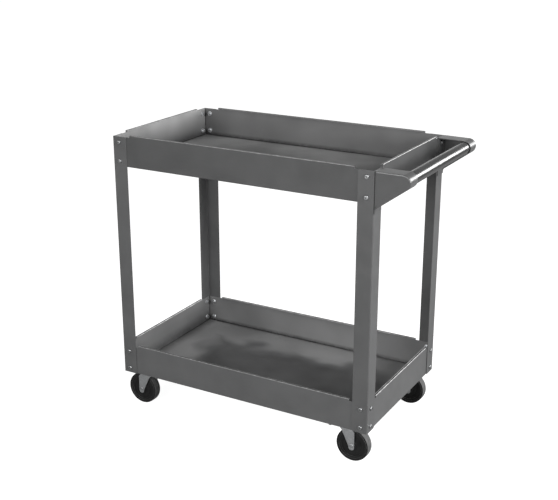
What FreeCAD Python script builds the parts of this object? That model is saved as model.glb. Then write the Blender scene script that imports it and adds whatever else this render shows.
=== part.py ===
import FreeCAD, Part
import math
import os
import re
import Sketcher

# Two-tray service cart: two folded sheet-steel pans bolted inside four angle legs, a tubular push
# handle between two pressed brackets at the rear, and four swivel casters under the lower pan.
# Frame: +X to the rear (the handle), +Y to the cart's right, +Z up, the floor at z = 0.
# Millimetres and degrees throughout.

os.makedirs("parts", exist_ok=True)
doc = FreeCAD.newDocument("ToolCart")

DIMENSIONS = {
    # how far a cut runs past what it cuts
    "overshoot": 5,
    # the whole cart
    "cart_length": 812,
    "cart_width": 473,
    "frame_shift": -46,
    # legs
    "leg_length": 730,
    "leg_flange": 46,
    "leg_sheet": 2,
    "leg_bend": 3,
    "leg_corner": 5,
    # trays
    "tray_sheet": 1.2,
    "tray_wall": 86,
    "tray_bend": 2.4,
    "tray_seam": 3,
    "rim_start": 56.5,
    "rim_rise": 6,
    "rim_width": 7.5,
    "rim_return": 4,
    "rim_bend": 1.5,
    # screws and flange nuts that join trays, legs and brackets
    "screw_inset": 21,
    "screw_near": 16,
    "screw_far": 70,
    "screw_radius": 3,
    "screw_length": 12,
    "screw_hole": 3.3,
    "head_radius": 6,
    "head_height": 3.6,
    "head_edge": 2.2,
    "recess_span": 6.4,
    "recess_slot": 1.3,
    "recess_depth": 1.8,
    "nut_across": 10,
    "nut_height": 6,
    "nut_flange": 7,
    "nut_flange_height": 1.4,
    # handle
    "bracket_sheet": 2,
    "bracket_root": 110,
    "bracket_foot": 42,
    "bracket_fillet": 10,
    "brace_angle": 36,
    "nose_reach": 75.5,
    "nose_radius": 20.5,
    "lip_width": 45,
    "handle_radius": 17.5,
    "handle_wall": 1.5,
    # casters
    "mount_height": 107.5,
    "caster_inset_rear": 80,
    "caster_inset_front": 70,
    "caster_inset_side": 38,
    "plate_length": 95,
    "plate_width": 60,
    "plate_sheet": 2.5,
    "plate_corner": 7,
    "plate_stud_x": 38,
    "plate_stud_y": 21,
    "stud_length": 8.5,
    "plate_nut_height": 5,
    "race_gap": 3,
    "race_radius": 16,
    "ball_radius": 2,
    "ball_clearance": 0.08,
    "skirt_outer": 23.8,
    "skirt_inner": 22.2,
    "skirt_drop": 2.5,
    "crown_radius": 24,
    "crown_sheet": 2,
    "kingpin_radius": 5,
    "kingpin_head": 8.5,
    "kingpin_head_height": 2.3,
    "kingpin_gap": 0.2,
    "pin_clearance": 0.06,
    "trail": 25,
    "fork_gap": 31.2,
    "fork_sheet": 2.3,
    "fork_back": 15,
    "fork_front": 21,
    "fork_shoulder_drop": 9,
    "fork_shoulder_round": 8,
    "fork_waist_back": 5,
    "fork_waist_rise": 42,
    "fork_heel_drop": 3,
    "fork_tip_half": 8.5,
    "fork_tip_round": 8.2,
    "fork_below_axle": 14,
    "axle_radius": 4,
    "axle_head_radius": 6,
    "axle_head_height": 2.2,
    "axle_head_edge": 1.8,
    "bush_radius": 6,
    "wheel_radius": 49,
    "tread_width": 27,
    "tread_shoulder": 3,
    "tyre_inner": 34,
    "hub_width": 30.6,
    "hub_boss": 18,
    "hub_web": 24.4,
    "hub_rim": 29,
}
BALLS = 16
TINY = 1e-3
LONG_EDGE = 100

sheet = doc.addObject("Spreadsheet::Sheet", "Dims")
for row, (alias, number) in enumerate(DIMENSIONS.items(), start=1):
    sheet.set("A%d" % row, alias.replace("_", " "))
    sheet.set("B%d" % row, str(number))
    sheet.setAlias("B%d" % row, alias)
doc.recompute()


# ---- helpers: every size below is an expression over the sheet's aliases ----

def full(expression):
    """The expression with the sheet's name before each alias."""
    def named(word):
        return "Dims." + word[0] if word[0] in DIMENSIONS else word[0]
    return re.sub(r"[a-z]\w*", named, str(expression))


def amount(expression):
    """The number that an expression stands for."""
    return float(sheet.evalExpression(full(expression)))


def place(piece, x="0", y="0", z="0", axis=(0, 0, 1), turn=0):
    """Turns a sub-part about an axis through its origin, then binds where that origin goes."""
    rotation = FreeCAD.Rotation(FreeCAD.Vector(*axis), turn)
    piece.Placement = FreeCAD.Placement(FreeCAD.Vector(), rotation)
    for letter, expression in zip("xyz", (x, y, z)):
        piece.setExpression("Placement.Base." + letter, full(expression))


def new_body(name):
    body = doc.addObject("PartDesign::Body", name)
    body.Label = name
    return body


def hold(sketch, kind, where, expression):
    """Adds one dimension to a sketch, bound to an expression."""
    index = sketch.addConstraint(Sketcher.Constraint(kind, *where, amount(expression)))
    sketch.setExpression("Constraints[%d]" % index, full(expression))


def outline(*points):
    """Draws a closed outline of straight edges through points given as pairs of expressions."""
    def draw(sketch):
        first = sketch.GeometryCount
        corners = [FreeCAD.Vector(amount(x), amount(y), 0) for x, y in points]
        edges = list(range(first, first + len(points)))
        for start, end in zip(corners, corners[1:] + corners[:1]):
            sketch.addGeometry(Part.LineSegment(start, end), False)
        for edge, following in zip(edges, edges[1:] + edges[:1]):
            sketch.addConstraint(Sketcher.Constraint("Coincident", edge, 2, following, 1))
        for edge, (x, y) in zip(edges, points):
            hold(sketch, "DistanceX", (-1, 1, edge, 1), x)
            hold(sketch, "DistanceY", (-1, 1, edge, 1), y)
    return draw


def rectangle(left, low, right, high):
    return outline((left, low), (right, low), (right, high), (left, high))


def circle(x, y, radius):
    def draw(sketch):
        centre = FreeCAD.Vector(amount(x), amount(y), 0)
        ring = Part.Circle(centre, FreeCAD.Vector(0, 0, 1), amount(radius))
        edge = sketch.addGeometry(ring, False)
        hold(sketch, "DistanceX", (-1, 1, edge, 3), x)
        hold(sketch, "DistanceY", (-1, 1, edge, 3), y)
        hold(sketch, "Radius", (edge,), radius)
    return draw


def hexagon(across):
    """A hexagon of the given width across its flats."""
    reach = "%s / 2 / cos(30)" % across
    turns = range(0, 360, 60)
    corners = [("%s * cos(%d)" % (reach, turn), "%s * sin(%d)" % (reach, turn)) for turn in turns]
    return outline(*corners)


def new_sketch(body, name, plane, level, shapes):
    """A sketch on one of the body's own origin planes, raised along that plane's normal."""
    sketch = body.newObject("Sketcher::SketchObject", name + "_sketch")
    support = next(item for item in body.Origin.OriginFeatures if item.Role == plane + "_Plane")
    sketch.AttachmentSupport = [(support, "")]
    sketch.MapMode = "FlatFace"
    sketch.setExpression("AttachmentOffset.Base.z", full(level))
    for draw in shapes:
        draw(sketch)
    return sketch


def extrude(body, kind, name, plane, shapes, depth, level="0", side="One side", backwards=False):
    """A Pad or a Pocket of the shapes. The XZ plane's normal is -Y, and a Pocket goes against it."""
    feature = body.newObject("PartDesign::" + kind, name)
    feature.Profile = new_sketch(body, name, plane, level, shapes)
    feature.SideType = side
    feature.Reversed = backwards
    feature.setExpression("Length", full(depth))
    body.Tip = feature
    doc.recompute()
    return feature


def pad(body, name, plane, shapes, depth, **options):
    return extrude(body, "Pad", name, plane, shapes, depth, **options)


def pocket(body, name, plane, shapes, depth, **options):
    """A Pocket that has to remove something."""
    before = body.Shape.Volume
    feature = extrude(body, "Pocket", name, plane, shapes, depth, **options)
    if body.Shape.Volume > before - TINY:
        raise RuntimeError("%s in %s cuts nothing" % (name, body.Label))
    return feature


def turned(body, kind, name, shapes):
    """A Revolution or Groove of a profile in the XZ plane about the body's Z axis."""
    feature = body.newObject("PartDesign::" + kind, name)
    feature.Profile = new_sketch(body, name, "XZ", "0", shapes)
    feature.ReferenceAxis = (feature.Profile[0], ["V_Axis"])
    feature.Angle = 360
    body.Tip = feature
    doc.recompute()
    return feature


def blend(body, kind, name, size, wanted):
    """A Fillet or Chamfer on every edge of the body whose box passes the test."""
    base = body.Tip
    edges = enumerate(base.Shape.Edges, start=1)
    picked = ["Edge%d" % number for number, edge in edges if wanted(edge.BoundBox)]
    if not picked:
        raise RuntimeError("%s in %s finds no edge" % (name, body.Label))
    feature = body.newObject("PartDesign::" + kind, name)
    feature.Base = (base, picked)
    feature.setExpression("Radius" if kind == "Fillet" else "Size", full(size))
    body.Tip = feature
    doc.recompute()
    return feature


def near(value, expression):
    return abs(value - amount(expression)) < TINY


def vertical(box):
    """True for an edge that runs along Z."""
    return box.ZLength > TINY and box.XLength < TINY and box.YLength < TINY


def crosswise(box):
    """True for an edge that runs along Y."""
    return box.YLength > TINY and box.XLength < TINY and box.ZLength < TINY


def upright(box, x, y):
    """True for an edge that runs along Z through the given point."""
    return vertical(box) and near(box.XMin, x) and near(box.YMin, y)


def group(name, pattern, places):
    """Copies of one fastener as separate solids in one sub-part."""
    copies = []
    for position, rotation in places:
        copy = pattern.Shape.copy()
        copy.Placement = FreeCAD.Placement(position, rotation)
        copies.append(copy)
    piece = doc.addObject("Part::Feature", name)
    piece.Shape = Part.makeCompound(copies)
    piece.Label = name
    piece.Placement = FreeCAD.Placement()
    return piece


# ---- trays ----

def rim_section(out, low):
    """The turned-in rim above a wall: up, inward and back down. out is the wall's outer face."""
    sign = "-1" if out.startswith("-") else "1"
    top = "%s + rim_rise" % low
    wide = "%s - %s * rim_width" % (out, sign)
    step = "%s * tray_sheet" % sign
    return outline(
        (out, low),
        (out, top),
        (wide, top),
        (wide, "%s - rim_return" % top),
        ("%s + %s" % (wide, step), "%s - rim_return" % top),
        ("%s + %s" % (wide, step), "%s - tray_sheet" % top),
        ("%s - %s" % (out, step), "%s - tray_sheet" % top),
        ("%s - %s" % (out, step), low),
    )


def make_tray(name, level):
    """A folded pan: floor, four walls with open corner seams, and a rim along each wall."""
    half_length = "(cart_length / 2 - leg_sheet)"
    half_width = "(cart_width / 2 - leg_sheet)"
    tray = new_body(name)
    outer = rectangle("-" + half_length, "-" + half_width, half_length, half_width)
    pad(tray, "blank", "XY", [outer], "tray_wall")
    blend(tray, "Fillet", "outer_bend", "tray_bend", lambda box: box.ZMax < TINY)
    inner = rectangle(
        "-%s + tray_sheet" % half_length,
        "-%s + tray_sheet" % half_width,
        "%s - tray_sheet" % half_length,
        "%s - tray_sheet" % half_width,
    )
    pocket(tray, "inside", "XY", [inner], "tray_wall - tray_sheet", level="tray_wall")

    def floor_edge(box):
        at_floor = near(box.ZMin, "tray_sheet") and near(box.ZMax, "tray_sheet")
        return at_floor and box.DiagonalLength > LONG_EDGE

    blend(tray, "Fillet", "inner_bend", "tray_bend - tray_sheet", floor_edge)
    seams = []
    for along in ("-", ""):
        for across in ("-", ""):
            x = along + half_length
            y = across + half_width
            inward_x = "%s %s tray_seam" % (x, "+" if along else "-")
            inward_y = "%s %s tray_seam" % (y, "+" if across else "-")
            seams.append(rectangle(x, y, inward_x, inward_y))
    pocket(tray, "corner_seams", "XY", seams, "tray_wall - tray_bend / 2", level="tray_wall")
    sides = [rim_section(half_width, "tray_wall"), rim_section("-" + half_width, "tray_wall")]
    pad(tray, "side_rims", "YZ", sides, "cart_length - 2 * rim_start", side="Symmetric")
    ends = [rim_section(half_length, "tray_wall"), rim_section("-" + half_length, "tray_wall")]
    pad(tray, "end_rims", "XZ", ends, "cart_width - 2 * rim_start", side="Symmetric")
    blend(
        tray, "Fillet", "rim_bends", "rim_bend",
        lambda box: near(box.ZMin, "tray_wall + rim_rise") and box.DiagonalLength > LONG_EDGE,
    )
    for label, plane, span, through in (
        ("side_holes", "XZ", "cart_length / 2 - screw_inset", "cart_width + 2 * overshoot"),
        ("end_holes", "YZ", "cart_width / 2 - screw_inset", "cart_length + 2 * overshoot"),
    ):
        holes = [
            circle("%s(%s)" % (sign, span), height, "screw_hole")
            for sign in ("-", "")
            for height in ("screw_near", "screw_far")
        ]
        pocket(tray, label, plane, holes, through, side="Symmetric")
    place(tray, x="frame_shift", z=level)
    return tray


top_tray = make_tray("top_tray", "mount_height + leg_length - tray_wall")
bottom_tray = make_tray("bottom_tray", "mount_height")


# ---- legs ----

CORNERS = {
    # name: (end, side, turn of a leg whose flanges run along +X and +Y)
    "front_left": ("-", "-", 0),
    "rear_left": ("", "-", 90),
    "rear_right": ("", "", 180),
    "front_right": ("-", "", 270),
}


def make_leg(corner, end, side, turn):
    """An angle with equal flanges, its outer corner on the Z axis."""
    leg = new_body("leg_" + corner)
    section = outline(
        ("0", "0"),
        ("leg_flange", "0"),
        ("leg_flange", "leg_sheet"),
        ("leg_sheet", "leg_sheet"),
        ("leg_sheet", "leg_flange"),
        ("0", "leg_flange"),
    )
    pad(leg, "angle", "XY", [section], "leg_length")
    blend(leg, "Fillet", "outer_bend", "leg_bend", lambda box: upright(box, "0", "0"))
    blend(
        leg, "Fillet", "inner_bend", "leg_bend - leg_sheet",
        lambda box: upright(box, "leg_sheet", "leg_sheet"),
    )

    def free_corner(box):
        across_sheet = box.ZLength < TINY and near(max(box.XLength, box.YLength), "leg_sheet")
        return across_sheet and (near(box.XMax, "leg_flange") or near(box.YMax, "leg_flange"))

    blend(leg, "Fillet", "free_corners", "leg_corner", free_corner)
    heights = ("screw_near", "screw_far", "leg_length - screw_far", "leg_length - screw_near")
    holes = [circle("screw_inset", height, "screw_hole") for height in heights]
    pocket(leg, "side_holes", "XZ", holes, "2 * overshoot", side="Symmetric")
    pocket(leg, "end_holes", "YZ", holes, "2 * overshoot", side="Symmetric")
    corner_x = end + "cart_length / 2 + frame_shift"
    place(leg, corner_x, side + "cart_width / 2", "mount_height", turn=turn)
    return leg


for corner, (end, side, turn) in CORNERS.items():
    make_leg(corner, end, side, turn)


# ---- handle ----

def make_bracket(name, inward):
    """A pressed plate: a brace that runs out to a round nose, a wide lip along its top and over
    the nose, and a foot turned in against the leg. Its origin is the leg's outer top corner."""
    bracket = new_body(name)
    left = inward > 0
    apex = "(nose_reach + nose_radius / tan(brace_angle / 2))"
    brace_low = "-(%s - bracket_sheet) * tan(brace_angle)" % apex
    plate = outline(
        ("0", "0"),
        (apex, "0"),
        ("bracket_sheet", brace_low),
        ("bracket_sheet", "-bracket_root"),
        ("0", "-bracket_root"),
    )
    pad(bracket, "plate", "XZ", [plate], "lip_width", backwards=left)
    blend(
        bracket, "Fillet", "nose", "nose_radius",
        lambda box: crosswise(box) and near(box.XMin, apex),
    )
    blend(
        bracket, "Fillet", "root_fillet", "bracket_fillet",
        lambda box: crosswise(box) and near(box.ZMin, brace_low),
    )
    far_x = "nose_reach + 2 * nose_radius * sin(brace_angle)"
    far_z = "-nose_radius - 2 * nose_radius * cos(brace_angle)"
    hollow = outline(
        ("-overshoot", "-bracket_sheet"),
        ("nose_reach", "-bracket_sheet"),
        ("nose_reach", "-nose_radius"),
        (far_x, far_z),
        ("nose_reach / 2", "-bracket_root - overshoot"),
        ("-overshoot", "-bracket_root - overshoot"),
    )
    nose_bore = circle("nose_reach", "-nose_radius", "nose_radius - bracket_sheet")
    inner_face = "%d * bracket_sheet" % -inward
    for label, shape in (("hollow", hollow), ("nose_bore", nose_bore)):
        pocket(bracket, label, "XZ", [shape], "lip_width", level=inner_face, backwards=not left)
    foot = rectangle("0", "-bracket_root", "%d * bracket_foot" % inward, "0")
    pad(bracket, "foot", "YZ", [foot], "bracket_sheet")
    holes = [
        circle("%d * screw_inset" % inward, height, "screw_hole")
        for height in ("-screw_near", "-screw_far")
    ]
    pocket(bracket, "foot_holes", "YZ", holes, "2 * overshoot", side="Symmetric")
    blend(bracket, "Fillet", "foot_bend", "leg_bend", lambda box: upright(box, "0", "0"))
    place(
        bracket,
        "cart_length / 2 + frame_shift",
        "%d * cart_width / 2" % -inward,
        "mount_height + leg_length",
    )
    return bracket


make_bracket("handle_bracket_left", 1)
make_bracket("handle_bracket_right", -1)

handle_tube = new_body("handle_tube")
tube_walls = [circle("0", "0", "handle_radius"), circle("0", "0", "handle_radius - handle_wall")]
pad(handle_tube, "tube", "XZ", tube_walls, "cart_width - 2 * bracket_sheet", side="Symmetric")
place(
    handle_tube,
    "cart_length / 2 + nose_reach + frame_shift",
    "0",
    "mount_height + leg_length - nose_radius",
)


# ---- fasteners of trays, legs and brackets; heads outside, nuts inside the trays ----

pan_screw = new_body("pan_screw_pattern")
pad(pan_screw, "head", "XY", [circle("0", "0", "head_radius")], "head_height")
blend(pan_screw, "Fillet", "dome", "head_edge", lambda box: near(box.ZMin, "head_height"))
pad(pan_screw, "shank", "XY", [circle("0", "0", "screw_radius")], "screw_length", backwards=True)
for label, long_x, long_y in (
    ("slot_a", "recess_span", "recess_slot"),
    ("slot_b", "recess_slot", "recess_span"),
):
    slot = rectangle("-%s / 2" % long_x, "-%s / 2" % long_y, "%s / 2" % long_x, "%s / 2" % long_y)
    pocket(pan_screw, label, "XY", [slot], "recess_depth", level="head_height")


def thread_hole(nut, height):
    """The hole through a nut that stands on the XY plane."""
    pocket(nut, "thread", "XY", [circle("0", "0", "screw_radius")], height, level=height)


flange_nut = new_body("flange_nut_pattern")
pad(flange_nut, "hexagon", "XY", [hexagon("nut_across")], "nut_height")
pad(flange_nut, "flange", "XY", [circle("0", "0", "nut_flange")], "nut_flange_height")
thread_hole(flange_nut, "nut_height")


def wall_places(tray_level, gap_of):
    """Where the sixteen fasteners of one tray stand, each pointing out of its wall.

    gap_of gives how far in front of the leg's outer face a fastener stands."""
    spots = []
    for end in (-1, 1):
        for side in (-1, 1):
            for height in ("screw_near", "screw_far"):
                z = amount(tray_level) + amount(height)
                side_x = end * amount("cart_length / 2 - screw_inset") + amount("frame_shift")
                side_y = side * (amount("cart_width / 2") + gap_of(0))
                facing = FreeCAD.Rotation(FreeCAD.Vector(0, 0, 1), FreeCAD.Vector(0, side, 0))
                spots.append((FreeCAD.Vector(side_x, side_y, z), facing))
                end_x = end * (amount("cart_length / 2") + gap_of(end)) + amount("frame_shift")
                end_y = side * amount("cart_width / 2 - screw_inset")
                facing = FreeCAD.Rotation(FreeCAD.Vector(0, 0, 1), FreeCAD.Vector(end, 0, 0))
                spots.append((FreeCAD.Vector(end_x, end_y, z), facing))
    return spots


def flipped(places):
    """The same places, each fastener turned to point the other way."""
    half_turn = FreeCAD.Rotation(FreeCAD.Vector(1, 0, 0), 180)
    return [(position, rotation.multiply(half_turn)) for position, rotation in places]


TOP_LEVEL = "mount_height + leg_length - tray_wall"
wall_stack = -amount("leg_sheet + tray_sheet")
foot_sheet = amount("bracket_sheet")
on_leg = lambda end: 0
on_foot = lambda end: foot_sheet if end > 0 else 0
inside = lambda end: wall_stack
group("top_tray_screws", pan_screw, wall_places(TOP_LEVEL, on_foot))
group("top_tray_nuts", flange_nut, flipped(wall_places(TOP_LEVEL, inside)))
group("bottom_tray_screws", pan_screw, wall_places("mount_height", on_leg))
group("bottom_tray_nuts", flange_nut, flipped(wall_places("mount_height", inside)))


# ---- casters ----

CASTERS = {
    # name: (x of the kingpin from mid-length, side, +1 when the wheel trails to the rear)
    "front_left": ("-(cart_length / 2 - caster_inset_front)", -1, -1),
    "rear_left": ("(cart_length / 2 - caster_inset_rear)", -1, 1),
    "rear_right": ("(cart_length / 2 - caster_inset_rear)", 1, 1),
    "front_right": ("-(cart_length / 2 - caster_inset_front)", 1, -1),
}
STUD_SPOTS = [(x, y) for x in (-1, 1) for y in (-1, 1)]
CROWN_TOP = "(mount_height - plate_sheet - race_gap)"
CROWN_UNDER = "(%s - crown_sheet)" % CROWN_TOP
RACE_MIDDLE = "(mount_height - plate_sheet - race_gap / 2)"


def race(body, name):
    """The groove that the ring of balls runs in."""
    groove = circle("race_radius", RACE_MIDDLE, "ball_radius + ball_clearance")
    turned(body, "Groove", name, [groove])


def make_plate(corner):
    """The caster's top plate, with the race and a dust skirt pressed into its underside."""
    plate = new_body("caster_plate_" + corner)
    blank = rectangle("-plate_length / 2", "-plate_width / 2", "plate_length / 2", "plate_width / 2")
    pad(plate, "blank", "XY", [blank], "plate_sheet", level="mount_height - plate_sheet")
    blend(plate, "Fillet", "corners", "plate_corner", vertical)
    ring = [circle("0", "0", "skirt_outer"), circle("0", "0", "skirt_inner")]
    under = "mount_height - plate_sheet"
    pad(plate, "skirt", "XY", ring, "skirt_drop", level=under, backwards=True)
    stud_holes = [
        circle("%d * plate_stud_x" % x, "%d * plate_stud_y" % y, "screw_hole")
        for x, y in STUD_SPOTS
    ]
    pocket(plate, "stud_holes", "XY", stud_holes, "plate_sheet", level="mount_height")
    pin_hole = [circle("0", "0", "kingpin_radius")]
    pocket(plate, "kingpin_hole", "XY", pin_hole, "plate_sheet", level="mount_height")
    race(plate, "race")
    return plate


def make_kingpin(corner):
    """A rivet, flush with the plate's top; its head carries the crown's weight when lifted."""
    pin = new_body("kingpin_" + corner)
    shank = [circle("0", "0", "kingpin_radius")]
    drop = "plate_sheet + race_gap + crown_sheet + kingpin_gap"
    pad(pin, "shank", "XY", shank, drop, level="mount_height", backwards=True)
    head_top = "%s - kingpin_gap" % CROWN_UNDER
    head = [circle("0", "0", "kingpin_head")]
    pad(pin, "head", "XY", head, "kingpin_head_height", level=head_top, backwards=True)
    blend(
        pin, "Fillet", "head_edge", "kingpin_head_height / 2",
        lambda box: near(box.ZMax, "%s - kingpin_head_height" % head_top),
    )
    return pin


def make_fork(corner):
    """Two tapered cheeks under a round crown; the axle trails the kingpin."""
    fork = new_body("fork_" + corner)
    outer_width = "fork_gap + 2 * fork_sheet"
    tip = "(wheel_radius - fork_below_axle)"
    heel = "(trail - fork_tip_half)"
    toe = "(trail + fork_tip_half)"
    shoulder = "(%s - fork_shoulder_drop)" % CROWN_UNDER
    cheek = outline(
        ("-fork_back", CROWN_TOP),
        ("fork_front", CROWN_TOP),
        (toe, shoulder),
        (toe, tip),
        (heel, tip),
        (heel, "wheel_radius - fork_heel_drop"),
        ("-fork_waist_back", "wheel_radius + fork_waist_rise"),
    )
    pad(fork, "cheeks", "XZ", [cheek], outer_width, side="Symmetric")
    blend(
        fork, "Fillet", "tips", "fork_tip_round",
        lambda box: crosswise(box) and near(box.ZMin, tip),
    )
    blend(
        fork, "Fillet", "shoulder", "fork_shoulder_round",
        lambda box: crosswise(box) and near(box.XMin, toe) and near(box.ZMin, shoulder),
    )
    wheel_space = rectangle(
        "-fork_back - overshoot",
        "%s - overshoot" % tip,
        "%s + overshoot" % toe,
        CROWN_UNDER,
    )
    pocket(fork, "wheel_space", "XZ", [wheel_space], "fork_gap", side="Symmetric")
    pad(fork, "crown", "XY", [circle("0", "0", "crown_radius")], "crown_sheet", level=CROWN_UNDER)
    hole = [circle("0", "0", "kingpin_radius + pin_clearance")]
    pocket(fork, "kingpin_hole", "XY", hole, "crown_sheet", level=CROWN_TOP)
    axle_hole = [circle("trail", "wheel_radius", "axle_radius + pin_clearance")]
    pocket(fork, "axle_hole", "XZ", axle_hole, outer_width + " + 2 * overshoot", side="Symmetric")
    race(fork, "race")
    return fork


def make_axle(corner):
    """A rivet through both cheeks, with a low round head outside each."""
    axle = new_body("axle_rivet_" + corner)
    reach = "fork_gap + 2 * fork_sheet"
    head = [circle("0", "0", "axle_head_radius")]
    pad(axle, "shank", "XY", [circle("0", "0", "axle_radius")], reach, side="Symmetric")
    pad(axle, "outer_head", "XY", head, "axle_head_height", level="(%s) / 2" % reach)
    pad(
        axle, "inner_head", "XY", head, "axle_head_height",
        level="-(%s) / 2" % reach, backwards=True,
    )
    end = "(%s) / 2 + axle_head_height" % reach
    blend(
        axle, "Fillet", "head_edges", "axle_head_edge",
        lambda box: near(box.ZMin, end) or near(box.ZMax, "-(%s)" % end),
    )
    return axle


def make_bush(corner):
    """The spacer that the axle clamps between the cheeks; the hub turns on it."""
    bush = new_body("wheel_bush_" + corner)
    walls = [circle("0", "0", "bush_radius - pin_clearance"), circle("0", "0", "axle_radius")]
    pad(bush, "sleeve", "XY", walls, "fork_gap", side="Symmetric")
    return bush


def make_hub(corner):
    """The wheel's centre: a boss, a web and a rim, turned about the axle."""
    hub = new_body("wheel_hub_" + corner)
    profile = outline(
        ("bush_radius", "-hub_width / 2"),
        ("hub_boss", "-hub_width / 2"),
        ("hub_boss", "-hub_web / 2"),
        ("hub_rim", "-hub_web / 2"),
        ("hub_rim", "-tread_width / 2"),
        ("tyre_inner", "-tread_width / 2"),
        ("tyre_inner", "tread_width / 2"),
        ("hub_rim", "tread_width / 2"),
        ("hub_rim", "hub_web / 2"),
        ("hub_boss", "hub_web / 2"),
        ("hub_boss", "hub_width / 2"),
        ("bush_radius", "hub_width / 2"),
    )
    turned(hub, "Revolution", "profile", [profile])
    return hub


def make_tyre(corner):
    """A solid rubber tread with rounded shoulders, moulded on the hub's rim."""
    tyre = new_body("wheel_tyre_" + corner)
    profile = rectangle("tyre_inner", "-tread_width / 2", "wheel_radius", "tread_width / 2")
    turned(tyre, "Revolution", "tread", [profile])
    blend(
        tyre, "Fillet", "shoulders", "tread_shoulder",
        lambda box: near(box.XMax, "wheel_radius") and box.ZLength < TINY,
    )
    return tyre


ball = doc.addObject("Part::Sphere", "ball_pattern")
ball.setExpression("Radius", full("ball_radius"))
doc.recompute()


def make_balls(corner, x, y):
    """The ring of bearing balls between plate and crown."""
    places = []
    for index in range(BALLS):
        turn = 2 * math.pi * index / BALLS
        ring = FreeCAD.Vector(math.cos(turn), math.sin(turn), 0) * amount("race_radius")
        centre = ring + FreeCAD.Vector(amount(x), amount(y), amount(RACE_MIDDLE))
        places.append((centre, FreeCAD.Rotation()))
    return group("swivel_balls_" + corner, ball, places)


for corner, (middle, side, trailing) in CASTERS.items():
    king_x = middle + " + frame_shift"
    king_y = "%d * (cart_width / 2 - caster_inset_side)" % side
    yaw = 0 if trailing > 0 else 180
    place(make_plate(corner), king_x, king_y)
    place(make_kingpin(corner), king_x, king_y)
    place(make_fork(corner), king_x, king_y, turn=yaw)
    make_balls(corner, king_x, king_y)
    axle_x = "%s + %d * trail" % (king_x, trailing)
    for make in (make_axle, make_bush, make_hub, make_tyre):
        place(make(corner), axle_x, king_y, "wheel_radius", axis=(1, 0, 0), turn=90)


# ---- fasteners of the caster plates: studs welded under the tray, nuts under the plates ----

stud = new_body("stud_pattern")
pad(stud, "shank", "XY", [circle("0", "0", "screw_radius")], "stud_length", backwards=True)
plain_nut = new_body("plain_nut_pattern")
pad(plain_nut, "hexagon", "XY", [hexagon("nut_across")], "plate_nut_height")
thread_hole(plain_nut, "plate_nut_height")
for label, pattern, level in (
    ("caster_plate_studs", stud, "mount_height"),
    ("caster_plate_nuts", plain_nut, "mount_height - plate_sheet - plate_nut_height"),
):
    spots = []
    for middle, side, trailing in CASTERS.values():
        for x, y in STUD_SPOTS:
            stud_x = amount("%s + %d * plate_stud_x + frame_shift" % (middle, x))
            stud_y = amount("%d * (cart_width / 2 - caster_inset_side) + %d * plate_stud_y" % (side, y))
            spots.append((FreeCAD.Vector(stud_x, stud_y, amount(level)), FreeCAD.Rotation()))
    group(label, pattern, spots)


# ---- checks and files ----

doc.recompute()
for item in doc.Objects:
    if {"Invalid", "Error"} & set(item.State):
        raise RuntimeError("%s failed: %s" % (item.Label, item.State))

written = 0
for item in doc.Objects:
    top_level = item.isDerivedFrom("PartDesign::Body") or item.TypeId == "Part::Feature"
    if not top_level or item.Label.endswith("_pattern"):
        continue
    if item.Shape.isNull() or not item.Shape.isValid():
        raise RuntimeError("%s has no valid shape" % item.Label)
    item.Shape.exportStep("parts/%s.step" % item.Label)
    written += 1
print("sub-parts written:", written)
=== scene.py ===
import math

import bmesh
import bpy
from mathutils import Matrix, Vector


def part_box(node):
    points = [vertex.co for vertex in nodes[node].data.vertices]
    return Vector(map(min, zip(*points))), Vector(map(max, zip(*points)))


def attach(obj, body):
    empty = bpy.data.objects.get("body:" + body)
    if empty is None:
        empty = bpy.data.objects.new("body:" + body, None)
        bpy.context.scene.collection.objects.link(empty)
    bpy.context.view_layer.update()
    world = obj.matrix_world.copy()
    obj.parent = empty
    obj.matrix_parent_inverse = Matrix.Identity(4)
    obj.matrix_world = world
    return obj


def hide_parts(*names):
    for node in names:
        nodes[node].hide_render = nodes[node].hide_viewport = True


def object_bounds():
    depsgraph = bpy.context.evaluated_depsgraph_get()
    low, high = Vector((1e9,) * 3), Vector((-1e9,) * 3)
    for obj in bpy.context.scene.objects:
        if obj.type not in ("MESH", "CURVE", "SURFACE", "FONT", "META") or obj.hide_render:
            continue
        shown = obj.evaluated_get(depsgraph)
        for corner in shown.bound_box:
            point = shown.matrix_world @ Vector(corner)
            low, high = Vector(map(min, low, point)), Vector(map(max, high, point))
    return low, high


# The looks of a two-tray steel service cart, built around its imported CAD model.
# Metres throughout, in the row frame: +X to the handle, +Z up, the floor at z = 0.

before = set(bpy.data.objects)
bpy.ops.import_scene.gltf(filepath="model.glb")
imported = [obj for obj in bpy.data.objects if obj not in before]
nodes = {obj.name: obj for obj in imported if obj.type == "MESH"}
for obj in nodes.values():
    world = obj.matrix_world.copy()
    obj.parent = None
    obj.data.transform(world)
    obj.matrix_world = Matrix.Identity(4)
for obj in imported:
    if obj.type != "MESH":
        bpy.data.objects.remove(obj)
cad_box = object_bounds()
MM = 0.001
TRAY_SHEET = 1.2 * MM
RIM_WIDTH = 7.5 * MM


# ---- shading helpers ----

def new_material(name):
    """A material with one Principled shader: the material, its node tree and the shader."""
    material = bpy.data.materials.new(name)
    material.use_nodes = True
    return material, material.node_tree, material.node_tree.nodes["Principled BSDF"]


def feed(tree, socket, value):
    """Links a socket to another one, or sets it to a plain value."""
    if isinstance(value, bpy.types.NodeSocket):
        tree.links.new(value, socket)
    else:
        socket.default_value = value


def add(tree, kind, **inputs):
    """Adds a shader node; each keyword names one of its inputs."""
    node = tree.nodes.new("ShaderNode" + kind)
    for name, value in inputs.items():
        feed(tree, node.inputs[name.replace("_", " ")], value)
    return node


def place_of(tree):
    """Coordinates in the row frame at rest, which stay with the piece when it moves."""
    return add(tree, "TexCoord").outputs["Object"]


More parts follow.
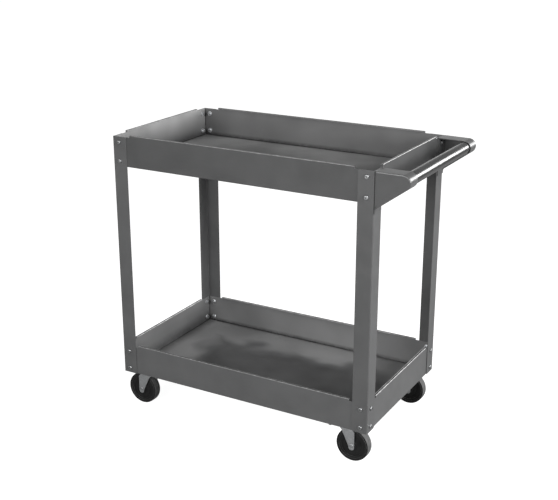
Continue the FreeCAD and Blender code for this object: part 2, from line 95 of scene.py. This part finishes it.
def noise(tree, place, size, detail=2.0, roughness=0.5):
    """Noise whose features are about the given size, in metres."""
    node = add(tree, "TexNoise", Vector=place, Scale=1 / size, Detail=detail, Roughness=roughness)
    return node.outputs["Fac"]


def remap(tree, value, low, high, to_low, to_high):
    """The value stretched from low..high to to_low..to_high and held there."""
    node = add(
        tree, "MapRange", Value=value, From_Min=low, From_Max=high, To_Min=to_low, To_Max=to_high
    )
    return node.outputs["Result"]


def calculate(tree, operation, first, second):
    """A Math node: the operation's name and its two operands."""
    node = tree.nodes.new("ShaderNodeMath")
    node.operation = operation
    feed(tree, node.inputs[0], first)
    feed(tree, node.inputs[1], second)
    return node.outputs[0]


def product(tree, *factors):
    """The factors multiplied together."""
    total = factors[0]
    for factor in factors[1:]:
        total = calculate(tree, "MULTIPLY", total, factor)
    return total


def blend(tree, factor, first, second):
    """A value that goes from the first at factor 0 to the second at factor 1."""
    return add(tree, "Mix", Factor=factor, A=first, B=second).outputs["Result"]


def mix_colour(tree, factor, first, second):
    """A colour that goes from the first at factor 0 to the second at factor 1."""
    node = tree.nodes.new("ShaderNodeMix")
    node.data_type = "RGBA"
    for index, value in ((0, factor), (6, first), (7, second)):
        feed(tree, node.inputs[index], value)
    return node.outputs[2]


def grey(level, tint=0.0):
    """A grey; a positive tint leans it to blue."""
    return (level * (1 - tint), level, level * (1 + tint), 1)


def relief(tree, height, depth, normal=None):
    """A bump of the given depth in metres, on top of another one if there is one."""
    node = add(tree, "Bump", Height=height, Distance=depth, Strength=1.0)
    if normal is not None:
        tree.links.new(normal, node.inputs["Normal"])
    return node.outputs["Normal"]


def creases(tree, reach, low, high, most):
    """How far a point lies inside a crease, where painted shade goes: 0 on open faces, up to most
    in corners.
    """
    node = add(tree, "AmbientOcclusion", Distance=reach)
    node.samples = 8
    return remap(tree, node.outputs["AO"], low, high, most, 0)


# ---- materials ----

# painted light: a lighter tone laid over the trays' insides
PAINTED_LIGHT_TONE = grey(0.3)
# painted shade: a dark film over the bottom tray's near floor
PAINTED_SHADE_TONE = grey(0.008)
# painted shade: near black laid into joints and creases
JOINT_PAINTED_SHADE = grey(0.015)
# painted shade: the dark line where a tray's floor meets its walls
SEAM_PAINTED_SHADE = grey(0.004)
# painted shade: a dark band at the foot of the trays' walls
FOOT_PAINTED_SHADE = grey(0.012)
# painted shade: the dark top of the rims, between their painted highlights
RIM_PAINTED_SHADE = grey(0.02)
# painted highlights along the rims' edges, lighter on the end rims than on the side rims
SIDE_RIM_HIGHLIGHT = grey(0.3)
END_RIM_HIGHLIGHT = grey(0.62)
# dust with painted sheen on the tyres' treads
RUBBER_DUST_AND_SHEEN = grey(0.11)


def paint_base(name, low, high, smooth, rough, wave=0.0035):
    """Grey enamel on sheet steel that is not quite flat: its material, tree, shader and tone.

    The tone goes from low to high, the roughness from smooth to rough, and wave is how deep the
    sheet's own unevenness is, in metres.
    """
    material, tree, shader = new_material(name)
    place = place_of(tree)
    drift = noise(tree, place, 0.22, detail=3.0, roughness=0.6)
    clouds = noise(tree, place, 0.05, detail=4.0, roughness=0.6)
    grain = noise(tree, place, 0.0011, detail=1.0)
    tone = mix_colour(tree, remap(tree, drift, 0.35, 0.65, 0, 1), grey(low, 0.01), grey(high, 0.01))
    tone = mix_colour(tree, remap(tree, clouds, 0.4, 0.75, 0, 0.35), tone, grey(high * 1.2, 0.01))
    gloss = noise(tree, place, 0.09, detail=1.0)
    feed(tree, shader.inputs["Roughness"], remap(tree, gloss, 0.25, 0.75, smooth, rough))
    waves = relief(tree, noise(tree, place, 0.17, detail=0.0), wave)
    peel = relief(tree, noise(tree, place, 0.0024, detail=1.5), 0.00006, waves)
    feed(tree, shader.inputs["Normal"], relief(tree, grain, 0.000015, peel))
    shader.inputs["Specular IOR Level"].default_value = 0.6
    shader.inputs["Coat Weight"].default_value = 0.12
    shader.inputs["Coat Roughness"].default_value = 0.14
    return material, tree, shader, tone


def make_paint(name, low, high, smooth, rough, painted_shade=0.3):
    """The enamel, with painted shade darkening it in the joints and creases."""
    material, tree, shader, tone = paint_base(name, low, high, smooth, rough)
    # painted shade, deepest inside the creases and joints
    crease_shade = creases(tree, 0.004, 0.3, 0.6, painted_shade)
    feed(tree, shader.inputs["Base Color"], mix_colour(tree, crease_shade, tone, JOINT_PAINTED_SHADE))
    return material


def measure_tray(tree, place, box):
    """How far a point of a tray is in from the ends and from the sides, and above the floor."""
    low, high = box
    sides = add(tree, "SeparateXYZ", Vector=place).outputs
    depths = []
    for letter, start, end in zip("XY", low, high):
        off = calculate(tree, "SUBTRACT", sides[letter], (start + end) / 2)
        far = calculate(tree, "ABSOLUTE", off, 0)
        depths.append(calculate(tree, "SUBTRACT", (end - start) / 2, far))
    rise = calculate(tree, "SUBTRACT", sides["Z"], low.z + TRAY_SHEET)
    return depths, rise


def floor_light_painting(tree, place, front, near_painted_lights, far_painted_light):
    """The painted light over a tray's floor, painted shade where it is below zero: even along its
    far side and at the front, uneven nearer.
    """
    sides = add(tree, "SeparateXYZ", Vector=place).outputs
    wander = remap(tree, noise(tree, place, 0.1, detail=1.0), 0.3, 0.7, -35 * MM, 35 * MM)
    across = calculate(tree, "ADD", sides["Y"], wander)
    along = calculate(tree, "ADD", sides["X"], wander)
    kept = calculate(
        tree, "MAXIMUM",
        remap(tree, across, 50 * MM, 150 * MM, 0, 1),
        remap(tree, along, front + 85 * MM, front + 190 * MM, 1, 0),
    )
    near_painted_light = remap(tree, sides["X"], -0.25, 0.15, *near_painted_lights)
    return blend(tree, kept, near_painted_light, far_painted_light)


def shade_at_wall_foot(tree, patches, depths, rise, end_shade_reach):
    """The painted shade at the foot of a tray's walls, which reaches further at the ends."""
    depth = calculate(tree, "MINIMUM", *depths)
    at_side = product(
        tree,
        remap(tree, rise, 4 * MM, 13 * MM, 0.75, 0),
        remap(tree, depth, TRAY_SHEET + 1 * MM, TRAY_SHEET + 12 * MM, 1, 0),
    )
    at_end = product(
        tree,
        remap(tree, rise, 4 * MM, end_shade_reach, 0.75, 0),
        remap(tree, depths[0], TRAY_SHEET + 1 * MM, TRAY_SHEET + end_shade_reach, 1, 0),
    )
    foot_band = calculate(tree, "MAXIMUM", at_side, at_end)
    return product(tree, foot_band, remap(tree, patches, 0.3, 0.6, 0.6, 1))


def rim_highlights(tree, patches, depth, inner_highlight):
    """How strong the painted highlights along the two edges of a tray's rim are, in patches."""
    edges = calculate(
        tree, "ADD",
        remap(tree, depth, 0.8 * MM, 1.3 * MM, 1, 0),
        remap(tree, depth, RIM_WIDTH - 2.4 * MM, RIM_WIDTH - 1.8 * MM, 0, inner_highlight),
    )
    return product(tree, edges, remap(tree, patches, 0.35, 0.6, 0.4, 1))


def make_tray_paint(name, box, base, near_painted_lights, far_painted_light, side_painted_light, end_painted_light, end_shade_reach, inner_highlight):
    """A tray's enamel: painted light inside, painted shade round the floor, and painted highlights
    along the rims.

    far_painted_light is the painted light on the floor's far side, near_painted_lights those on its
    near side, at the front and at the handle; below zero is painted shade instead.
    side_painted_light is the painted light on the long walls, end_painted_light that on the top of
    the end walls. end_shade_reach is how far the painted shade reaches from the foot of an end, and
    inner_highlight how strong the rims' inner painted highlight is.
    """
    low, high = box
    material, tree, shader, tone = paint_base(name, base, base * 1.25, 0.28, 0.42, wave=0.008)
    place = place_of(tree)
    depths, rise = measure_tray(tree, place, box)
    depth = calculate(tree, "MINIMUM", *depths)
    at_end = calculate(tree, "LESS_THAN", *depths)
    inside = product(
        tree,
        remap(tree, depth, 0.4 * MM, 0.8 * MM, 0, 1),
        remap(tree, rise, -0.4 * MM, -0.2 * MM, 0, 1),
    )

    # painted light inside the tray, rising up the end walls; where it goes below zero on the near
    # floor it is painted shade
    floor_painted_light = floor_light_painting(tree, place, low.x, near_painted_lights, far_painted_light)
    end_wall_painted_light = remap(tree, rise, 12 * MM, 80 * MM, 0, end_painted_light)
    wall_painted_light = blend(tree, at_end, side_painted_light, end_wall_painted_light)
    painted_light = blend(tree, remap(tree, rise, 1 * MM, 4 * MM, 0, 1), floor_painted_light, wall_painted_light)
    uneven = remap(tree, noise(tree, place, 0.15, detail=1.5), 0.35, 0.65, 0.75, 1.25)
    painted_light = product(tree, painted_light, uneven, inside)
    tone = mix_colour(tree, calculate(tree, "MAXIMUM", painted_light, 0), tone, PAINTED_LIGHT_TONE)
    floor_shade_share = product(tree, calculate(tree, "MINIMUM", painted_light, 0), -1)
    tone = mix_colour(tree, floor_shade_share, tone, PAINTED_SHADE_TONE)

    # painted shade: a near black line along the foot of the walls inside the tray
    seam_shade = product(
        tree,
        remap(tree, rise, 1.6 * MM, 2.6 * MM, 1, 0),
        remap(tree, depth, TRAY_SHEET + 2.2 * MM, TRAY_SHEET + 3.2 * MM, 1, 0),
        inside,
    )
    tone = mix_colour(tree, seam_shade, tone, SEAM_PAINTED_SHADE)
    patches = noise(tree, place, 0.018, detail=4.0, roughness=0.6)
    # painted shade in uneven patches at the foot of the walls
    painted_shade = product(tree, shade_at_wall_foot(tree, patches, depths, rise, end_shade_reach), inside)
    tone = mix_colour(tree, painted_shade, tone, FOOT_PAINTED_SHADE)

    # painted highlights on the rim's edges over painted shade on its top
    rim_highlight_tone = mix_colour(tree, at_end, SIDE_RIM_HIGHLIGHT, END_RIM_HIGHLIGHT)
    rim = mix_colour(tree, rim_highlights(tree, patches, depth, inner_highlight), RIM_PAINTED_SHADE, rim_highlight_tone)
    height = add(tree, "SeparateXYZ", Vector=place).outputs["Z"]
    on_top = remap(tree, height, high.z - 1.5 * MM, high.z - 0.9 * MM, 0, 1)
    feed(tree, shader.inputs["Base Color"], mix_colour(tree, on_top, tone, rim))
    return material


def make_zinc(name, low, high, rough):
    """Zinc-plated steel: mottled from low to high, with a fine drawn grain."""
    material, tree, shader = new_material(name)
    place = place_of(tree)
    mottle = noise(tree, place, 0.006, detail=4.0, roughness=0.65)
    grain = noise(tree, place, 0.0009, detail=2.0)
    tone = mix_colour(tree, remap(tree, mottle, 0.3, 0.7, 0, 1), grey(low, 0.02), grey(high, 0.015))
    painted_shade = creases(tree, 0.004, 0.25, 0.8, 0.8)
    feed(tree, shader.inputs["Base Color"], mix_colour(tree, painted_shade, tone, grey(0.05)))
    feed(tree, shader.inputs["Roughness"], remap(tree, mottle, 0.3, 0.7, rough, rough + 0.14))
    shader.inputs["Metallic"].default_value = 1.0
    feed(tree, shader.inputs["Normal"], relief(tree, grain, 0.00003))
    return material


def make_rubber():
    """Hard black rubber, lighter grey on the tread where it rolls: dust there, and painted sheen
    from the light grazing it.
    """
    material, tree, shader = new_material("tyre_rubber_black")
    place = place_of(tree)
    patches = noise(tree, place, 0.012, detail=4.0, roughness=0.6)
    grain = noise(tree, place, 0.0012, detail=3.0)
    tone = mix_colour(tree, remap(tree, patches, 0.35, 0.7, 0, 1), grey(0.006), grey(0.011))
    own = tree.nodes.new("ShaderNodeVectorTransform")
    own.vector_type = "NORMAL"
    own.convert_from = "WORLD"
    own.convert_to = "OBJECT"
    feed(tree, own.inputs["Vector"], add(tree, "NewGeometry").outputs["Normal"])
    across = add(tree, "SeparateXYZ", Vector=own.outputs["Vector"]).outputs["Y"]
    tread = remap(tree, calculate(tree, "ABSOLUTE", across, 0), 0.5, 0.85, 1, 0)
    # dust and painted sheen on the tread
    dust_and_sheen = product(tree, tread, remap(tree, patches, 0.3, 0.7, 0.6, 1))
    feed(tree, shader.inputs["Base Color"], mix_colour(tree, dust_and_sheen, tone, RUBBER_DUST_AND_SHEEN))
    feed(tree, shader.inputs["Roughness"], remap(tree, patches, 0.3, 0.7, 0.55, 0.7))
    feed(tree, shader.inputs["Normal"], relief(tree, grain, 0.00007))
    shader.inputs["Specular IOR Level"].default_value = 0.2
    return material


def make_hub_plastic():
    """Moulded black plastic with a fine leathery grain."""
    material, tree, shader = new_material("hub_plastic_black")
    place = place_of(tree)
    flow = noise(tree, place, 0.02, detail=3.0)
    grain = noise(tree, place, 0.0008, detail=2.0)
    tone = mix_colour(tree, remap(tree, flow, 0.35, 0.65, 0, 1), grey(0.006), grey(0.011))
    feed(tree, shader.inputs["Base Color"], tone)
    feed(tree, shader.inputs["Roughness"], remap(tree, flow, 0.3, 0.7, 0.5, 0.62))
    feed(tree, shader.inputs["Normal"], relief(tree, grain, 0.00004))
    shader.inputs["Specular IOR Level"].default_value = 0.2
    return material


PAINT = make_paint("grey_enamel", 0.062, 0.078, 0.3, 0.46, painted_shade=0.12)
GLOSSY_PAINT = make_paint("glossy_enamel", 0.055, 0.068, 0.28, 0.36, painted_shade=0.05)
TUBE_PAINT = make_paint("tube_enamel", 0.02, 0.028, 0.17, 0.26)
TOP_PAINT = make_tray_paint(
    "top_tray_enamel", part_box("top_tray"), base=0.048, near_painted_lights=(0.3, 0.3), far_painted_light=0.62,
    side_painted_light=0.26, end_painted_light=0.8, end_shade_reach=13 * MM, inner_highlight=0.4,
)
BOTTOM_PAINT = make_tray_paint(
    "bottom_tray_enamel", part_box("bottom_tray"), base=0.068, near_painted_lights=(-0.36, -0.72),
    far_painted_light=0.42, side_painted_light=0.27, end_painted_light=0.22, end_shade_reach=38 * MM, inner_highlight=1.0,
)
BRIGHT_ZINC = make_zinc("bright_zinc", 0.3, 0.42, 0.32)
# the screws' zinc painted lighter: painted highlights on the nuts inside the trays' corners
NUT_ZINC_PAINTED_LIGHT = make_zinc("nut_zinc_painted_light", 0.65, 0.8, 0.34)
DULL_ZINC = make_zinc("dull_zinc", 0.42, 0.56, 0.34)
DARK_ZINC = make_zinc("dark_zinc", 0.3, 0.4, 0.44)
RUBBER = make_rubber()
HUB_PLASTIC = make_hub_plastic()


# ---- the CAD nodes: rounded edges and finishes ----

def soften(piece, width):
    """Rounds the node's sharp edges and evens its normals, as modifiers."""
    weld = piece.modifiers.new("weld", "WELD")
    weld.merge_threshold = 0.001 * MM
    flats = piece.modifiers.new("flats", "DECIMATE")
    flats.decimate_type = "DISSOLVE"
    flats.angle_limit = math.radians(0.2)
    bevel = piece.modifiers.new("edges", "BEVEL")
    bevel.width = width
    bevel.segments = 2
    bevel.limit_method = "ANGLE"
    bevel.angle_limit = math.radians(30)
    bevel.use_clamp_overlap = False
    piece.modifiers.new("normals", "WEIGHTED_NORMAL")


FINISHES = (
    # first letters of the node's name, finish, width of its rounded edges
    ("top_tray_screws", BRIGHT_ZINC, 0),
    ("bottom_tray_screws", BRIGHT_ZINC, 0),
    ("top_tray_nuts", NUT_ZINC_PAINTED_LIGHT, 0.25 * MM),
    ("bottom_tray_nuts", NUT_ZINC_PAINTED_LIGHT, 0.25 * MM),
    ("caster_plate_studs", BRIGHT_ZINC, 0),
    ("caster_plate_nuts", BRIGHT_ZINC, 0.25 * MM),
    ("top_tray", TOP_PAINT, 0.3 * MM),
    ("bottom_tray", BOTTOM_PAINT, 0.3 * MM),
    ("leg_", PAINT, 0.35 * MM),
    ("handle_bracket_", GLOSSY_PAINT, 0.35 * MM),
    ("handle_tube", TUBE_PAINT, 0.35 * MM),
    ("axle_", DARK_ZINC, 0),
    ("caster_plate_", DULL_ZINC, 0.3 * MM),
    ("fork_", DULL_ZINC, 0.3 * MM),
    ("kingpin_", DULL_ZINC, 0),
    ("swivel_balls_", BRIGHT_ZINC, 0),
    ("wheel_bush_", BRIGHT_ZINC, 0),
    ("wheel_hub_", HUB_PLASTIC, 0.3 * MM),
    ("wheel_tyre_", RUBBER, 0),
)
for name, piece in nodes.items():
    finish, width = next(row[1:] for row in FINISHES if name.startswith(row[0]))
    piece.data.materials.clear()
    piece.data.materials.append(finish)
    if width:
        soften(piece, width)


# ---- pieces that stand for plain CAD nodes ----

CORNERS = ("front_left", "rear_left", "rear_right", "front_right")
SMOOTH_BELOW = math.radians(35)


def new_piece(name, mesh_data, material):
    """Turns a finished bmesh into a piece, shaded smooth but for its corners. It rides nowhere."""
    bmesh.ops.recalc_face_normals(mesh_data, faces=mesh_data.faces)
    mesh = bpy.data.meshes.new(name)
    mesh_data.to_mesh(mesh)
    mesh_data.free()
    mesh.materials.append(material)
    mesh.shade_smooth()
    mesh.set_sharp_from_angle(angle=SMOOTH_BELOW)
    piece = bpy.data.objects.new(name, mesh)
    bpy.context.scene.collection.objects.link(piece)
    return piece


def arc(radius, across, size, start, end, steps=6):
    """Points (radius, across) along an arc whose centre is the first two, angles in degrees."""
    turns = [math.radians(start + (end - start) * step / steps) for step in range(steps + 1)]
    return [(radius + size * math.cos(turn), across + size * math.sin(turn)) for turn in turns]


def lathe(outline, centre, steps=128):
    """A solid turned about the wheel's axle from a closed outline of (radius, across) points."""
    mesh_data = bmesh.new()
    rings = []
    for step in range(steps):
        turn = 2 * math.pi * step / steps
        spoke = Vector((math.cos(turn), 0, math.sin(turn)))
        rings.append([
            mesh_data.verts.new(centre + spoke * radius + Vector((0, across, 0)))
            for radius, across in outline
        ])
    for ring, following in zip(rings, rings[1:] + rings[:1]):
        for index in range(len(outline)):
            last = index - 1
            mesh_data.faces.new((ring[last], ring[index], following[index], following[last]))
    return mesh_data


def mirrored(outline):
    """The outline's half at positive across, closed with its mirror image."""
    return outline + [(radius, -across) for radius, across in reversed(outline)]


def make_tyre(corner):
    """A crowned tread with a mould line, round shoulders, and a rib on each sidewall."""
    low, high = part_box("wheel_tyre_" + corner)
    hub_low, hub_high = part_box("wheel_hub_" + corner)
    centre = (low + high) / 2
    rolling = (high.z - low.z) / 2
    half = (high.y - low.y) / 2
    bead = (hub_high.z - hub_low.z) / 2
    crown = 0.5 * MM
    shoulder = 2.8 * MM
    side = half - 0.5 * MM
    rib_inner = rolling - 8.5 * MM
    rib_outer = rolling - 6.5 * MM
    rib_round = 0.9 * MM
    rib_level = side - 0.4 * MM
    mould_line = 0.25 * MM
    outline = [(bead, side)]
    outline += arc(rib_inner, rib_level, rib_round, 180, 90, 4)
    outline += arc(rib_outer, rib_level, rib_round, 90, 0, 4)
    outline += arc(rolling - crown - shoulder, side - shoulder, shoulder, 90, 0, 8)
    outline += [
        (rolling - crown / 4, half / 2),
        (rolling - mould_line, 0.6 * MM),
        (rolling, 0.2 * MM),
    ]
    piece = new_piece("tyre_" + corner, lathe(mirrored(outline), centre), RUBBER)
    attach(piece, "wheel_" + corner)
    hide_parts("wheel_tyre_" + corner)


def make_hub(corner):
    """A moulded centre: a raised boss, a nearly flush web with one groove, and a plain rim."""
    low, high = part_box("wheel_hub_" + corner)
    bush_low, bush_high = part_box("wheel_bush_" + corner)
    tyre_low, tyre_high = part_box("wheel_tyre_" + corner)
    centre = (low + high) / 2
    rim = (high.z - low.z) / 2
    boss_face = (high.y - low.y) / 2
    web = (tyre_high.y - tyre_low.y) / 2 - 1.3 * MM
    running_gap = 0.06 * MM
    bore = (bush_high.z - bush_low.z) / 2 + running_gap
    boss = bore + 8 * MM
    chamfer = 0.6 * MM
    boss_round = 1.2 * MM
    root_round = 1 * MM
    groove = rim - 6 * MM
    groove_depth = 1.1 * MM
    rim_chamfer = 0.4 * MM
    outline = [(bore, boss_face - chamfer), (bore + chamfer, boss_face)]
    outline += arc(boss - boss_round, boss_face - boss_round, boss_round, 90, 0, 4)
    outline += arc(boss + root_round, web + root_round, root_round, 180, 270, 4)
    outline += arc(groove, web, groove_depth, 180, 360, 8)
    outline += [(rim - rim_chamfer, web), (rim, web - rim_chamfer)]
    piece = new_piece("hub_" + corner, lathe(mirrored(outline), centre), HUB_PLASTIC)
    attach(piece, "wheel_" + corner)
    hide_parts("wheel_hub_" + corner)


def make_bracket(side):
    """The CAD bracket with its lip rolled over from the plate in a wide bend."""
    node = nodes["handle_bracket_" + side]
    low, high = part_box("handle_bracket_" + side)
    outer = low.y if side == "left" else high.y
    flat = 0.01 * MM
    bend = 3.4 * MM
    underside = -0.79
    mesh_data = bmesh.new()
    mesh_data.from_mesh(node.data)
    bmesh.ops.remove_doubles(mesh_data, verts=mesh_data.verts, dist=0.001 * MM)
    bmesh.ops.dissolve_limit(
        mesh_data, angle_limit=math.radians(0.5), verts=mesh_data.verts, edges=mesh_data.edges
    )
    rolled = []
    for edge in mesh_data.edges:
        on_plate = all(abs(vert.co.y - outer) < flat for vert in edge.verts)
        normals = [face.normal for face in edge.link_faces]
        if on_plate and max(abs(normal.y) for normal in normals) > 0.99:
            over = min(normals, key=lambda normal: abs(normal.y))
            if abs(over.y) < 0.01 and over.z > underside:
                rolled.append(edge)
    bmesh.ops.bevel(
        mesh_data, geom=rolled, offset=bend, segments=5, profile=0.5, affect="EDGES",
        clamp_overlap=False,
    )
    piece = new_piece("rolled_bracket_" + side, mesh_data, GLOSSY_PAINT)
    soften(piece, 0.3 * MM)
    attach(piece, "cart")
    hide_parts("handle_bracket_" + side)


def make_tube_weld(side):
    """The rippled bead that joins the tube's end to its bracket, where the lip leaves it open."""
    low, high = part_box("handle_tube")
    centre = (low + high) / 2
    centre.y = low.y if side == "left" else high.y
    reach = (high.z - low.z) / 2
    inward = 1 if side == "left" else -1
    start, end = math.radians(100), math.radians(300)
    stops = 90
    sides = 10
    bead = 1.5 * MM
    ripple = 0.25 * MM
    ripple_turn = 2.1
    mesh_data = bmesh.new()
    rings = []
    for stop in range(stops + 1):
        turn = start + (end - start) * stop / stops
        spoke = Vector((math.cos(turn), 0, math.sin(turn)))
        taper = min(1, 6 * stop / stops, 6 * (stops - stop) / stops)
        size = (bead + ripple * math.cos(ripple_turn * stop)) * math.sqrt(max(taper, 0.02))
        middle = centre + spoke * (reach + 0.2 * MM) + Vector((0, inward * 0.3 * MM, 0))
        ring = []
        for index in range(sides):
            angle = 2 * math.pi * index / sides
            across = Vector((0, math.sin(angle), 0))
            ring.append(mesh_data.verts.new(middle + (spoke * math.cos(angle) + across) * size))
        rings.append(ring)
    for ring, following in zip(rings, rings[1:]):
        for index in range(sides):
            last = index - 1
            mesh_data.faces.new((ring[last], ring[index], following[index], following[last]))
    mesh_data.faces.new(rings[0])
    mesh_data.faces.new(rings[-1])
    piece = new_piece("tube_weld_" + side, mesh_data, PAINT)
    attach(piece, "cart")


for corner in CORNERS:
    make_tyre(corner)
    make_hub(corner)
for side in ("left", "right"):
    make_bracket(side)
    make_tube_weld(side)


# ---- studio ----

# The sky's level in front of the cart and behind it, and the share of it overhead.
FRONT_LIGHT = 0.75
BACK_LIGHT = 1.2
TOP_SHARE = 0.24


def make_floor():
    """A plain pale floor, wide enough to reach the horizon in any view. Its own glow, which
    makes it white, falls on nothing else: it is linked to a collection with only the floor."""
    reach = 40
    mesh = bpy.data.meshes.new("floor")
    corners = [(-reach, -reach, 0), (reach, -reach, 0), (reach, reach, 0), (-reach, reach, 0)]
    mesh.from_pydata(corners, [], [(0, 1, 2, 3)])
    floor = bpy.data.objects.new("floor", mesh)
    bpy.context.scene.collection.objects.link(floor)
    material, tree, shader = new_material("pale_floor")
    shader.inputs["Base Color"].default_value = grey(0.3)
    shader.inputs["Roughness"].default_value = 1.0
    shader.inputs["Specular IOR Level"].default_value = 0.0
    shader.inputs["Emission Color"].default_value = grey(1.0)
    shader.inputs["Emission Strength"].default_value = 0.95
    mesh.materials.append(material)
    only_floor = bpy.data.collections.new("lit_by_floor")
    only_floor.objects.link(floor)
    floor.light_linking.receiver_collection = only_floor


def add_softbox(name, place, target, width, height, power):
    """A soft rectangular light turned to its target, out of the camera's sight. Power in watts."""
    light = bpy.data.lights.new(name, "AREA")
    light.shape = "RECTANGLE"
    light.size = width
    light.size_y = height
    light.energy = power
    holder = bpy.data.objects.new(name, light)
    bpy.context.scene.collection.objects.link(holder)
    holder.location = place
    holder.rotation_mode = "QUATERNION"
    holder.rotation_quaternion = (Vector(target) - Vector(place)).to_track_quat("-Z", "Y")
    holder.visible_camera = False


def make_sky():
    """Soft white light from all round, dimmer in front of the cart and overhead."""
    world = bpy.data.worlds.new("studio")
    world.use_nodes = True
    tree = world.node_tree
    way = add(tree, "SeparateXYZ", Vector=add(tree, "TexCoord").outputs["Generated"]).outputs
    low = remap(tree, way["Y"], -0.3, 0.5, FRONT_LIGHT, BACK_LIGHT)
    level = product(tree, low, remap(tree, way["Z"], 0.14, 0.3, 1, TOP_SHARE))
    tree.links.new(level, tree.nodes["Background"].inputs["Strength"])
    tree.nodes["Background"].inputs["Color"].default_value = grey(1.0)
    bpy.context.scene.world = world


make_floor()
make_sky()
middle = (cad_box[0] + cad_box[1]) / 2
handle = (0.43, 0, 0.82)
add_softbox("front", (-0.3, -3.4, 1.5), middle, width=2.6, height=1.4, power=105)
add_softbox("right", (3.4, -0.4, 1.9), middle, width=1.6, height=1.4, power=170)
add_softbox("streak", (2.0, 2.4, 1.3), handle, width=1.6, height=0.85, power=38)

scene = bpy.context.scene
scene.view_settings.view_transform = "Standard"
scene.view_settings.look = "None"


# ---- camera ----

AZIMUTH = math.radians(29.5)
ELEVATION = math.radians(18.85)
CAMERA_PLACE = (1.3768, -2.5135, 1.4805)
LENS = 66.98
camera = bpy.data.objects.new("camera", bpy.data.cameras.new("camera"))
scene.collection.objects.link(camera)
back = Vector((
    math.sin(AZIMUTH) * math.cos(ELEVATION),
    -math.cos(AZIMUTH) * math.cos(ELEVATION),
    math.sin(ELEVATION),
))
camera.location = CAMERA_PLACE
camera.rotation_mode = "QUATERNION"
camera.rotation_quaternion = (-back).to_track_quat("-Z", "Y")
camera.data.sensor_width = 36
camera.data.lens = LENS
scene.camera = camera
